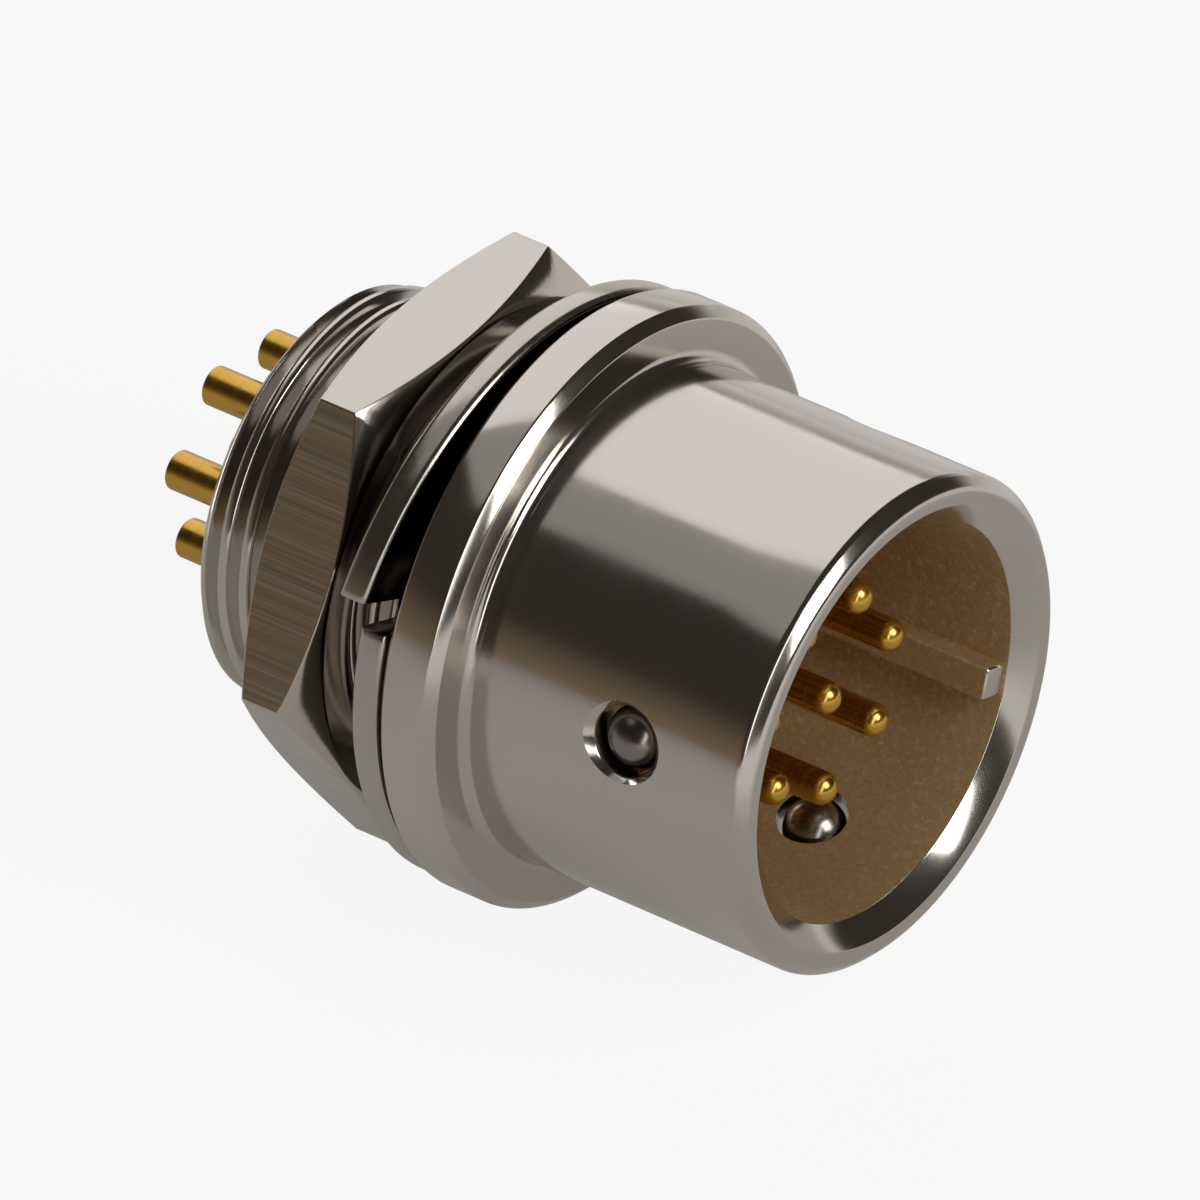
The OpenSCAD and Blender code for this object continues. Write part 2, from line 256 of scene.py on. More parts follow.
class StageSizes(bpy.types.PropertyGroup):
    """The camera and the studio."""
    azimuth: clock("Azimuth", "Direction of the camera round the part", 37.0)
    elevation: clock("Elevation", "Height of the camera's view", 34.4)
    distance: length("Distance", "Distance of the camera from the rim", 737.0 * MM)
    right: length("Right", "How far the rim lies right of the picture's middle", 8.397 * MM)
    down: length("Down", "How far the rim lies below the picture's middle", 3.609 * MM)
    lens: FloatProperty(name="Lens", description="Focal length in millimetres", default=790.5,
                        subtype="DISTANCE_CAMERA", unit="CAMERA")


class ConnectorSettings(bpy.types.PropertyGroup):
    """Everything that a user would change."""
    shell: group("Shell", ShellSizes)
    lock: group("Lock", LockSizes)
    thread: group("Thread", ThreadSizes)
    nut: group("Nut", NutSizes)
    washer: group("Washer", WasherSizes)
    contact: group("Contacts", ContactSizes)
    insulator: group("Insulators", InsulatorSizes)
    ring: group("Retaining ring", RingSizes)
    finish: group("Finishes", Finishes)
    stage: group("Stage", StageSizes)


def select_only(piece):
    """Leaves edit mode and selects one object."""
    if bpy.context.object and bpy.context.object.mode != "OBJECT":
        bpy.ops.object.mode_set(mode="OBJECT")
    bpy.ops.object.select_all(action="DESELECT")
    if piece:
        piece.select_set(True)
        bpy.context.view_layer.objects.active = piece


def named(name):
    """Names the active object and its mesh."""
    piece = bpy.context.object
    piece.name = piece.data.name = name
    return piece


def pick(piece, points, reach=1e-6):
    """In edit mode, selects the vertices of a flat section that lie at these (x, radius) points."""
    bpy.ops.mesh.select_all(action="DESELECT")
    mesh = bmesh.from_edit_mesh(piece.data)
    for x, r in points:
        near = min(mesh.verts, key=lambda v: (v.co.x - x) ** 2 + (v.co.z - r) ** 2)
        if math.hypot(near.co.x - x, near.co.z - r) > reach:
            raise RuntimeError(f"{piece.name} has no corner at {x}, {r}")
        near.select_set(True)
    mesh.select_flush_mode()
    bmesh.update_edit_mesh(piece.data)


def draw_section(name, corners, rounds=(), closed=True):
    """Draws a section above the axis by extruding one vertex from corner to corner.

    Each of rounds is (corner, radius, steps): that corner is rounded by a vertex bevel.
    """
    select_only(None)
    bpy.ops.mesh.primitive_plane_add(size=MM, location=(0, 0, 0))
    piece = named(name)
    bpy.ops.object.mode_set(mode="EDIT")
    bpy.ops.mesh.merge(type="CENTER")
    bpy.ops.transform.translate(value=(corners[0][0], 0, corners[0][1]))
    for (x0, r0), (x1, r1) in zip(corners, corners[1:]):
        bpy.ops.mesh.extrude_vertices_move(TRANSFORM_OT_translate={"value": (x1 - x0, 0, r1 - r0)})
    if closed:
        pick(piece, (corners[0], corners[-1]))
        bpy.ops.mesh.edge_face_add()
    for corner, radius, steps in rounds:
        pick(piece, [corner])
        bpy.ops.mesh.bevel(affect="VERTICES", offset=radius, segments=steps, profile=0.5)
    return piece


def close_up(piece):
    """In edit mode, merges doubles and turns the faces outwards."""
    bpy.ops.mesh.select_all(action="SELECT")
    bpy.ops.mesh.remove_doubles(threshold=WELD)
    bpy.ops.mesh.normals_make_consistent(inside=False)
    bpy.ops.object.mode_set(mode="OBJECT")
    return piece


def cap_ends():
    """In edit mode, closes the open ends of a swept section."""
    bpy.ops.mesh.select_all(action="DESELECT")
    bpy.ops.mesh.select_non_manifold()
    bpy.ops.mesh.fill_holes(sides=0)


def weld(piece):
    """Merges the doubles that carving leaves."""
    select_only(piece)
    bpy.ops.object.mode_set(mode="EDIT")
    return close_up(piece)


def spin(piece, steps, turn=FULL_TURN):
    """Spins a section round the axis and closes the result."""
    bpy.ops.mesh.select_all(action="SELECT")
    bpy.ops.mesh.spin(steps=steps, angle=-turn, center=(0, 0, 0), axis=(1, 0, 0))
    if turn < FULL_TURN:
        cap_ends()
    return close_up(piece)


def lathe(name, corners, rounds=(), steps=96, closed=True):
    """A turned solid about the X axis."""
    return spin(draw_section(name, corners, rounds, closed), steps)


def put(piece, matrix):
    """Moves a piece and keeps its object at the origin."""
    select_only(piece)
    piece.matrix_world = matrix
    bpy.ops.object.transform_apply(location=True, rotation=True, scale=True)
    return piece


def copy_of(piece, name, matrix):
    """A copy with a mesh of its own, put in its place."""
    select_only(piece)
    bpy.ops.object.duplicate()
    return put(named(name), matrix)


def gather(pieces):
    """Joins several pieces into the first one."""
    select_only(pieces[0])
    for piece in pieces[1:]:
        piece.select_set(True)
    bpy.ops.object.join()
    return pieces[0]


def carve(piece, tool, operation="DIFFERENCE"):
    """Cuts a piece with a tool, or joins or trims it by one, and takes the tool away."""
    select_only(piece)
    step = piece.modifiers.new("carve", "BOOLEAN")
    step.solver = "EXACT"
    step.operation = operation
    step.object = tool
    bpy.ops.object.modifier_apply(modifier=step.name)
    spare = tool.data
    bpy.data.objects.remove(tool)
    bpy.data.meshes.remove(spare)
    if not piece.data.polygons:
        raise RuntimeError(f"{piece.name} is empty after carving")
    return piece


def clean_up(piece):
    """Takes out the spare points and edges that carving leaves on flat faces."""
    shortest_edge, flat = 0.003 * MM, math.radians(0.2)
    select_only(piece)
    bpy.ops.object.mode_set(mode="EDIT")
    bpy.ops.mesh.select_all(action="SELECT")
    bpy.ops.mesh.remove_doubles(threshold=shortest_edge)
    bpy.ops.mesh.dissolve_limited(angle_limit=flat)
    bpy.ops.object.mode_set(mode="OBJECT")
    return piece


def break_edges(piece, width, steps, angle):
    """Rounds the sharp edges of a piece a little."""
    select_only(piece)
    step = piece.modifiers.new("edges", "BEVEL")
    step.width = width
    step.segments = steps
    step.limit_method = "ANGLE"
    step.angle_limit = angle
    step.use_clamp_overlap = True
    bpy.ops.object.modifier_apply(modifier=step.name)
    return piece


def dress(piece, body, finish, slot, *nodes):
    """Gives a finished piece its shading, material and body, and hides the nodes that it stands
    for; slot is not used.
    """
    select_only(piece)
    bpy.ops.object.shade_smooth_by_angle(angle=SMOOTH_BELOW)
    piece.data.materials.clear()
    piece.data.materials.append(finish)
    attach(piece, body)
    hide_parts(*nodes)
    return piece


def steady_shading(piece):
    """Lets the large faces of a piece set the shading of its edges, so that flats look flat."""
    select_only(piece)
    step = piece.modifiers.new("shading", "WEIGHTED_NORMAL")
    step.keep_sharp = True
    bpy.ops.object.modifier_apply(modifier=step.name)
    return piece


def second_finish(piece, finish, wanted):
    """Gives the faces that a test picks another material."""
    piece.data.materials.append(finish)
    for face in piece.data.polygons:
        face.material_index = 1 if wanted(face) else 0


def at_clock(angle, radius=0.0, x=0.0):
    """A place at a clock angle, from the top towards -Y, at a radius from the axis."""
    return Matrix.Rotation(angle, 4, "X") @ Matrix.Translation((x, 0, radius))


def outwards(angle, x):
    """Stands a solid turned about the X axis up on a clock angle, its X pointing outwards."""
    return (Matrix.Translation((x, 0, 0)) @ Matrix.Rotation(angle, 4, "X")
            @ Matrix.Rotation(-math.pi / 2, 4, "Y"))


def lock_turns(lock):
    """The clock angles of the lock holes."""
    return [lock.first + i * FULL_TURN / LOCK_BALLS for i in range(LOCK_BALLS)]


def contact_places(sizes):
    """The places of the ring of contacts and of the centre one."""
    ring = CONTACTS - 1
    places = [at_clock(sizes.first + i * FULL_TURN / ring, sizes.circle_r) for i in range(ring)]
    return places + [Matrix.Identity(4)]


def add(tree, kind, inputs=None, **settings):
    """Adds a node with its settings, and fills its inputs with values or other nodes' outputs."""
    made = tree.nodes.new(kind)
    for key, value in settings.items():
        setattr(made, key, value)
    for key, value in (inputs or {}).items():
        if isinstance(value, bpy.types.NodeSocket):
            tree.links.new(value, made.inputs[key])
        else:
            made.inputs[key].default_value = value
    return made


def blank_material(name):
    """An empty node material, and its tree."""
    material = bpy.data.materials.new(name)
    material.use_nodes = True
    material.node_tree.nodes.clear()
    return material, material.node_tree


def object_place(tree):
    """The place of a point on its piece, in metres."""
    return add(tree, "ShaderNodeTexCoord").outputs["Object"]


def stretched(tree, scale):
    """The place on a piece, scaled along each axis so that a pattern is drawn out."""
    return add(tree, "ShaderNodeMapping", {"Vector": object_place(tree), "Scale": scale}).outputs[0]


def grain(tree, place, width, detail, roughness):
    """Noise with a grain about this wide, in metres."""
    return add(tree, "ShaderNodeTexNoise", {"Vector": place, "Scale": 1 / width, "Detail": detail,
                                            "Roughness": roughness}).outputs["Fac"]


def spread(tree, value, low, high, start=NOISE_LOW, end=NOISE_HIGH):
    """Spreads a value that runs from start to end over the range from low to high."""
    return add(tree, "ShaderNodeMapRange", {"Value": value, "From Min": start, "From Max": end,
                                            "To Min": low, "To Max": high}).outputs["Result"]


def blend(tree, share, first, second):
    """Blends two colours."""
    return add(tree, "ShaderNodeMix", {"Factor": share, "A": first, "B": second},
               data_type="RGBA").outputs["Result"]


def relief(tree, height, strength, depth):
    """Normals for marks of this depth, in metres."""
    return add(tree, "ShaderNodeBump", {"Height": height, "Strength": strength,
                                        "Distance": depth}).outputs["Normal"]


def surface(tree, **inputs):
    """Ends a material in one principled shader."""
    shader = add(tree, "ShaderNodeBsdfPrincipled", inputs)
    add(tree, "ShaderNodeOutputMaterial", {"Surface": shader.outputs[0]})


def metal(tree, colour, roughness, **inputs):
    """Ends a metal's material."""
    surface(tree, **{"Base Color": colour, "Metallic": 1.0, "Roughness": roughness}, **inputs)


def nickel_plate(colour):
    """Nickel plate on turned brass: a warm grey mirror with faint rings from the lathe tool."""
    material, tree = blank_material("nickel_plate_turned")
    place = object_place(tree)
    parts = add(tree, "ShaderNodeSeparateXYZ", {"Vector": place}).outputs
    squares = add(tree, "ShaderNodeMath", {0: parts["Y"], 1: parts["Y"]}, operation="MULTIPLY")
    squares = add(tree, "ShaderNodeMath", {0: parts["Z"], 1: parts["Z"], 2: squares.outputs[0]},
                  operation="MULTIPLY_ADD")
    radius = add(tree, "ShaderNodeMath", {0: squares.outputs[0]}, operation="SQRT")
    ring = add(tree, "ShaderNodeCombineXYZ", {"X": parts["X"], "Y": radius.outputs[0]})
    # tool marks about 0.06 mm apart, and hazy patches about 3 mm across
    marks = grain(tree, ring.outputs[0], 0.12 * MM, 2.0, 0.6)
    haze = grain(tree, place, 3 * MM, 3.0, 0.55)
    metal(tree, colour, spread(tree, haze, 0.11, 0.17),
          Normal=relief(tree, marks, 0.035, 0.02 * MM))
    return material


def bored_brass(colour):
    """Brass with a thin plating, as bored: a dull brown that scatters light, with paler specks
    painted in as glints on the chatter marks.
    """
    material, tree = blank_material("brass_bored_dull")
    # chatter marks about 0.2 mm across
    chatter = grain(tree, object_place(tree), 0.2 * MM, 4.0, 0.65)
    # the chatter marks are real in the bump; the paler specks in the colour are painted glints
    glint_specks = spread(tree, chatter, 0.0, 1.0, 0.5, 0.8)
    tint = blend(tree, glint_specks, colour[:], linear("#f1e6d2"))
    metal(tree, tint, spread(tree, chatter, 0.8, 0.62),
          Normal=relief(tree, chatter, 0.5, 0.04 * MM))
    return material


def nickel_broached(colour):
    """Nickel plate on a broached brass hexagon: a warm grey sheen with lines along the axis."""
    material, tree = blank_material("nickel_plate_broached")
    # broach lines about 0.4 mm apart, drawn out along the axis
    drawn = stretched(tree, (0.02, 1.0, 1.0))
    lines = grain(tree, drawn, 0.4 * MM, 2.0, 0.6)
    metal(tree, colour, spread(tree, lines, 0.12, 0.24),
          Normal=relief(tree, lines, 0.3, 0.05 * MM))
    return material


def spring_steel(colour, name="spring_steel_plated"):
    """Spring steel, plated: a soft grey shine with a fine rolled grain; in a dark colour it is the
    painted shade on the washer's faces.
    """
    material, tree = blank_material(name)
    rolled = grain(tree, object_place(tree), 0.25 * MM, 3.0, 0.6)
    metal(tree, colour, spread(tree, rolled, 0.16, 0.26),
          Normal=relief(tree, rolled, 0.06, 0.02 * MM))
    return material


def tumbled_steel(colour):
    """Tumbled bearing steel: a satin shine that spreads each lamp into a broad spot; its colour is
    darkened, painted shade for the balls down in their holes.
    """
    material, tree = blank_material("bearing_steel_tumbled")
    haze = grain(tree, object_place(tree), 0.5 * MM, 2.0, 0.5)
    metal(tree, colour, spread(tree, haze, 0.2, 0.28))
    return material


def gold_plate(colour):
    """Gold plate on turned copper alloy: a warm yellow shine with faint marks from the lathe."""
    material, tree = blank_material("gold_plate_turned")
    # tool marks about 0.1 mm apart along the pin
    turned = stretched(tree, (1.0, 0.05, 0.05))
    marks = grain(tree, turned, 0.2 * MM, 2.0, 0.5)
    metal(tree, colour, spread(tree, marks, 0.2, 0.3),
          Normal=relief(tree, marks, 0.05, 0.02 * MM))
    return material


def brown_moulding(colour):
    """Moulded engineering plastic: tan, satin, with a faint fleck from its mould."""
    material, tree = blank_material("pps_moulding_brown")
    fleck = grain(tree, object_place(tree), 0.4 * MM, 4.0, 0.6)
    surface(tree, **{"Base Color": blend(tree, fleck, colour[:], linear("#a5814f")),
                     "Roughness": spread(tree, fleck, 0.38, 0.55), "IOR": 1.6,
                     "Normal": relief(tree, fleck, 0.15, 0.03 * MM)})
    return material


class CONNECTOR_OT_shell(bpy.types.Operator):
    """Turns the shell, drills its lock holes and adds the polarising key"""
    bl_idname = "connector.shell"
    bl_label = "Shell"

    def execute(self, context):
        settings = context.scene.connector
        s, lock, thread, ring = settings.shell, settings.lock, settings.thread, settings.ring
        root_r = thread.crest_r - thread.depth
        floor_x, lip_x = s.flange_t, s.flange_t - s.lip_t
        band_lo, band_hi = lock.x - lock.band, lock.x + lock.band
        relief_r = root_r - thread.relief_depth
        rear_edge = (s.end_x, root_r)
        flange = [(0, s.flange_r - s.flange_chamfer), (s.flange_chamfer, s.flange_r),
                  (s.flange_t - s.flange_chamfer, s.flange_r),
                  (s.flange_t, s.flange_r - s.flange_chamfer)]
        root = (s.flange_t, s.barrel_r)
        rim = [(s.rim_x - s.rim_chamfer, s.barrel_r), (s.rim_x, s.barrel_r - s.rim_chamfer)]
        lip_edges = [(floor_x, s.lip_r), (lip_x, s.lip_r)]
        mouth = [(s.rim_x, s.cavity_r + s.mouth_flare), (s.rim_x - s.mouth_chamfer, s.cavity_r)]
        floor = (floor_x, s.cavity_r)
        bore_edge = (s.end_x, s.bore_r)
        groove_r, groove_lo = s.bore_r + s.groove_depth, RING_LO.x - ring.play
        corners = [
            bore_edge, rear_edge,
            (-thread.relief_len, root_r), (-thread.relief_len, relief_r), (0, relief_r),
            *flange, root,
            (band_lo, s.barrel_r), (band_hi, s.barrel_r), *rim,
            *mouth, (band_hi, s.cavity_r), (band_lo, s.cavity_r), floor,
            *lip_edges, (lip_x, s.bore_r),
            (REAR_LO.x, s.bore_r), (REAR_LO.x, groove_r),
            (groove_lo, groove_r), (groove_lo, s.bore_r),
        ]
        rounds = [(root, s.root_fillet, 8), (rear_edge, s.end_round, 3),
                  (bore_edge, s.end_round, 3), (floor, s.floor_round, 4)]
        rounds += [(corner, s.rim_round, 5) for corner in rim]
        rounds += [(corner, s.edge_break, 3) for corner in flange + mouth + lip_edges]
        shell = lathe("shell_body", corners, rounds, s.turn_steps)
        carve(shell, self.key(s), "UNION")
        # one drill for a lock hole, with a countersink at the barrel's surface
        sink = (s.barrel_r - lock.bevel, lock.hole_r)
        drill = lathe("lock_drill", [
            (s.cavity_r - OVER, 0), (s.cavity_r - OVER, lock.hole_r), sink,
            (s.barrel_r + OVER, lock.hole_r + lock.bevel + OVER), (s.barrel_r + OVER, 0)],
            [(sink, lock.edge_round, 3)], steps=64, closed=False)
        for i, turn in enumerate(lock_turns(lock)):
            carve(shell, copy_of(drill, f"lock_drill_{i}", outwards(turn, lock.x)))
        bpy.data.objects.remove(drill)
        dress(shell, "receptacle", nickel_plate(settings.finish.nickel), "nickel_plate", "shell")
        steady_shading(shell)
        # the plating is thin on the cavity's wall and along the key, but not on its front end
        dull_lo, dull_hi = floor_x + 0.1 * MM, mouth[1][0]
        dull_r = s.cavity_r + 0.005 * MM
        faces_front = 0.3

        def dull(face):
            x, y, z = face.center
            inside = dull_lo < x < dull_hi and math.hypot(y, z) < dull_r
            return inside and face.normal.x < faces_front
        second_finish(shell, bored_brass(settings.finish.bore), dull)
        return {"FINISHED"}

    def key(self, s):
        """The key, a bar with rounded edges that is sunk in the cavity's wall."""
        sink = (s.barrel_r - s.cavity_r) / 2
        start = s.flange_t - s.lip_t / 2
        end = s.rim_x - s.mouth_chamfer - s.key_setback
        select_only(None)
        bpy.ops.mesh.primitive_cube_add(size=1.0)
        bar = named("key_bar")
        size = Vector((end - start, s.key_w, s.key_h + sink))
        put(bar, Matrix.Translation(((start + end) / 2, 0, s.cavity_r - s.key_h + size.z / 2))
            @ Matrix.Diagonal((*size, 1)))
        select_only(bar)
        bpy.ops.object.mode_set(mode="EDIT")
        bpy.ops.mesh.select_all(action="DESELECT")
        mesh = bmesh.from_edit_mesh(bar.data)
        for edge in mesh.edges:
            low = all(v.co.z < s.cavity_r - s.key_h / 2 for v in edge.verts)
            front = all(v.co.x > (start + end) / 2 for v in edge.verts)
            if low or (front and edge.verts[0].co.z != edge.verts[1].co.z):
                edge.select_set(True)
        bmesh.update_edit_mesh(bar.data)
        bpy.ops.mesh.bevel(offset=s.key_round, segments=3, affect="EDGES")
        bpy.ops.object.mode_set(mode="OBJECT")
        return put(bar, Matrix.Rotation(s.key, 4, "X"))


class CONNECTOR_OT_thread(bpy.types.Operator):
    """Winds the thread on the shank and runs it out at both ends"""
    bl_idname = "connector.thread"
    bl_label = "Thread"

    def execute(self, context):
        settings = context.scene.connector
        t, s = settings.thread, settings.shell
        steps = 120
        root_r = t.crest_r - t.depth
        # the ridge is drawn deeper into the shank than the foot that is left of it
        drawn_foot, foot, clear = 0.09 * MM, 0.05 * MM, 0.02 * MM
        base_r = root_r - drawn_foot
        half_crest = t.crest_w / 2
        half_root = min(half_crest + t.depth * math.tan(t.flank), t.pitch / 2)
        start = s.end_x - t.pitch
        crest = [(start - half_crest, t.crest_r), (start + half_crest, t.crest_r)]
        corners = [(start - half_root, base_r), (start - half_root, root_r), *crest,
                   (start + half_root, root_r), (start + half_root, base_r)]
        rounds = [(corner, t.crest_round, 4) for corner in crest]
        ridge = draw_section("shank_thread", corners, rounds)
        select_only(ridge)
        wind = ridge.modifiers.new("wind", "SCREW")
        wind.axis = "X"
        wind.angle = FULL_TURN
        wind.screw_offset = t.pitch
        wind.steps = wind.render_steps = steps
        wind.iterations = math.ceil((-t.relief_len - start) / t.pitch) + 1
        bpy.ops.object.modifier_apply(modifier=wind.name)
        bpy.ops.object.mode_set(mode="EDIT")
        cap_ends()
        close_up(ridge)
        # the turned blank that the thread was cut in, chamfered at both ends
        top, inner = t.crest_r + clear, root_r - foot
        run_out = 0.6 * (top - root_r)
        blank = lathe("thread_blank", [
            (s.end_x + clear, inner), (s.end_x + clear, t.crest_r - t.end_chamfer),
            (s.end_x + t.end_chamfer, top), (-t.relief_len - run_out, top),
            (-t.relief_len, inner)], steps=steps)
        weld(carve(ridge, blank, "INTERSECT"))
        finish = bpy.data.materials["nickel_plate_turned"]
        dress(ridge, "receptacle", finish, "nickel_plate", "shell")
        return {"FINISHED"}


class CONNECTOR_OT_lock_balls(bpy.types.Operator):
    """Spins one lock ball and puts a copy in each hole"""
    bl_idname = "connector.lock_balls"
    bl_label = "Lock balls"

    def execute(self, context):
        settings = context.scene.connector
        lock, s = settings.lock, settings.shell
        finish = tumbled_steel(settings.finish.ball)
        steps = 32
        angles = [math.pi * i / steps for i in range(steps + 1)]
        arc = [(lock.ball_r * math.cos(angle), lock.ball_r * math.sin(angle)) for angle in angles]
        ball = lathe("lock_ball", arc, steps=2 * steps, closed=False)
        middle = s.barrel_r - lock.ball_sink - lock.ball_r
        for i, turn in enumerate(lock_turns(lock)):
            made = copy_of(ball, f"lock_ball_{i + 1}_steel", at_clock(turn, middle, lock.x))
            dress(made, "receptacle", finish, "spring_steel", f"lock_ball_{i + 1}")
        bpy.data.objects.remove(ball)
        return {"FINISHED"}


class CONNECTOR_OT_contacts(bpy.types.Operator):
    """Turns one contact and copies it to all eight places"""
    bl_idname = "connector.contacts"
    bl_label = "Contacts"

    def execute(self, context):
        settings = context.scene.connector
        c = settings.contact
        split_x = FRONT_LO.x
        collar_x = split_x + c.collar_len
        tip = (c.tip_x, c.pin_r)
        cup = (c.end_x, c.cup_r)
        cup_mouth = (c.end_x, c.cup_bore_r)
        shoulders = [(split_x, c.collar_r), (collar_x, c.collar_r), (c.seat_x, c.seat_r)]
        corners = [
            (c.end_x + c.cup_depth + c.cup_point, 0), (c.end_x + c.cup_depth, c.cup_bore_r),
            cup_mouth, cup,
            (split_x, c.cup_r), shoulders[0], shoulders[1], (collar_x, c.seat_r), shoulders[2],
            (c.seat_x, c.pin_r), tip, (c.tip_x, 0),
        ]
        rounds = [(tip, c.pin_r * c.tip_round, 12), (cup, c.cup_round, 3),
                  (cup_mouth, c.mouth_round, 2)]
        rounds += [(corner, c.shoulder_round, 2) for corner in shoulders]
        contact = lathe("contact", corners, rounds, steps=48, closed=False)
        finish = gold_plate(settings.finish.gold)
        for i, place in enumerate(contact_places(c)):
            made = copy_of(contact, f"contact_{i + 1}_gold", place)
            dress(made, "receptacle", finish, "gold_plate", f"contact_{i + 1}")
        bpy.data.objects.remove(contact)
        return {"FINISHED"}


class CONNECTOR_OT_insulators(bpy.types.Operator):
    """Moulds the two insulators with a hole for each contact"""
    bl_idname = "connector.insulators"
    bl_label = "Insulators"

    def execute(self, context):
        settings = context.scene.connector
        c, s, sizes = settings.contact, settings.shell, settings.insulator
        finish = brown_moulding(settings.finish.moulding)
        split_x, collar_x = FRONT_LO.x, FRONT_LO.x + c.collar_len
        lip_x = s.flange_t - s.lip_t
        body_r, boss_r = s.bore_r - c.play, s.lip_r - c.play
        face = (FRONT_HI.x, boss_r)
        front = lathe("insulator_front_moulding", [
            (split_x, 0), (split_x, body_r), (lip_x, body_r), (lip_x, boss_r),
            face, (FRONT_HI.x, 0)],
            [(face, sizes.face_round, 4)], steps=144, closed=False)
        seat_r, collar_r = c.seat_r + c.play, c.collar_r + c.play
        drill = lathe("front_drill", [
            (split_x - OVER, 0), (split_x - OVER, collar_r),
            (collar_x, collar_r), (collar_x, seat_r),
            (FRONT_HI.x - sizes.countersink, seat_r), (FRONT_HI.x + OVER, seat_r + OVER),
            (FRONT_HI.x + OVER, 0)], steps=48, closed=False)
        self.drill(front, drill, settings)
        dress(weld(front), "receptacle", finish, "moulding", "insulator_front")
        rear = lathe("insulator_rear_moulding", [
            (REAR_LO.x, 0), (REAR_LO.x, body_r), (split_x, body_r), (split_x, 0)],
            [((REAR_LO.x, body_r), sizes.rear_round, 3)], steps=144, closed=False)
        cup_r = c.cup_r + c.play
        drill = lathe("rear_drill", [
            (REAR_LO.x - OVER, 0), (REAR_LO.x - OVER, cup_r + OVER),
            (REAR_LO.x + sizes.countersink, cup_r),
            (split_x + OVER, cup_r), (split_x + OVER, 0)], steps=48, closed=False)
        self.drill(rear, drill, settings)
        dress(weld(rear), "receptacle", finish, "moulding", "insulator_rear")
        return {"FINISHED"}

    def drill(self, moulding, drill, settings):
        """Cuts all the contact holes in one go."""
        places = contact_places(settings.contact)
        drills = [copy_of(drill, f"drill_{i}", place) for i, place in enumerate(places)]
        bpy.data.objects.remove(drill)
        carve(moulding, gather(drills))


class CONNECTOR_OT_retaining_ring(bpy.types.Operator):
    """Bends the open retaining ring in the rear bore"""
    bl_idname = "connector.retaining_ring"
    bl_label = "Retaining ring"

    def execute(self, context):
        settings = context.scene.connector
        s, sizes = settings.shell, settings.ring
        outer = s.bore_r + s.groove_depth - sizes.play
        inner = outer - sizes.width
        corners = [(RING_LO.x, inner), (RING_LO.x, outer), (RING_HI.x, outer), (RING_HI.x, inner)]
        rounds = [(corner, sizes.round, 2) for corner in corners]
        ring = spin(draw_section("retaining_ring_steel", corners, rounds), steps=120,
                    turn=FULL_TURN - sizes.opening)
        put(ring, Matrix.Rotation(sizes.opening / 2, 4, "X"))
        finish = spring_steel(settings.finish.steel)
        dress(ring, "receptacle", finish, "spring_steel", "retaining_ring")
        return {"FINISHED"}


class CONNECTOR_OT_spring_washer(bpy.types.Operator):
    """Winds the split spring washer from its seated end to its free end"""
    bl_idname = "connector.spring_washer"
    bl_label = "Spring washer"

    def execute(self, context):
        settings = context.scene.connector
        w = settings.washer
        corners = [(0, w.inner_r), (0, w.outer_r),
                   (-w.thickness, w.outer_r), (-w.thickness, w.inner_r)]
        rounds = [(corner, w.round, 5) for corner in corners]
        turn, slack = FULL_TURN - w.split, 1e-3
        washer = spin(draw_section("spring_washer_steel", corners, rounds), steps=240, turn=turn)
        for vertex in washer.data.vertices:
            angle = math.atan2(-vertex.co.y, vertex.co.z) % FULL_TURN
            # rounding can put the first section's angle just under a full turn
            share = 0.0 if angle > turn + slack else min(angle / turn, 1.0)
            vertex.co.x -= w.lift * share ** w.lift_power
        put(washer, Matrix.Rotation(w.split_at + w.split / 2, 4, "X"))
        break_edges(washer, w.end_break, steps=2, angle=math.radians(60))
        finish = bpy.data.materials["spring_steel_plated"]
        dress(washer, "washer", finish, "spring_steel", "spring_washer")
        # the washer's faces get a dark colour, painted shade for the gaps between the washer, the
        # flange and the nut; the plated rim keeps its shine
        faces_axis = 0.8
        second_finish(washer, spring_steel(settings.finish.strip, "spring_steel_painted_shade"),
                      lambda face: abs(face.normal.x) > faces_axis)
        return {"FINISHED"}


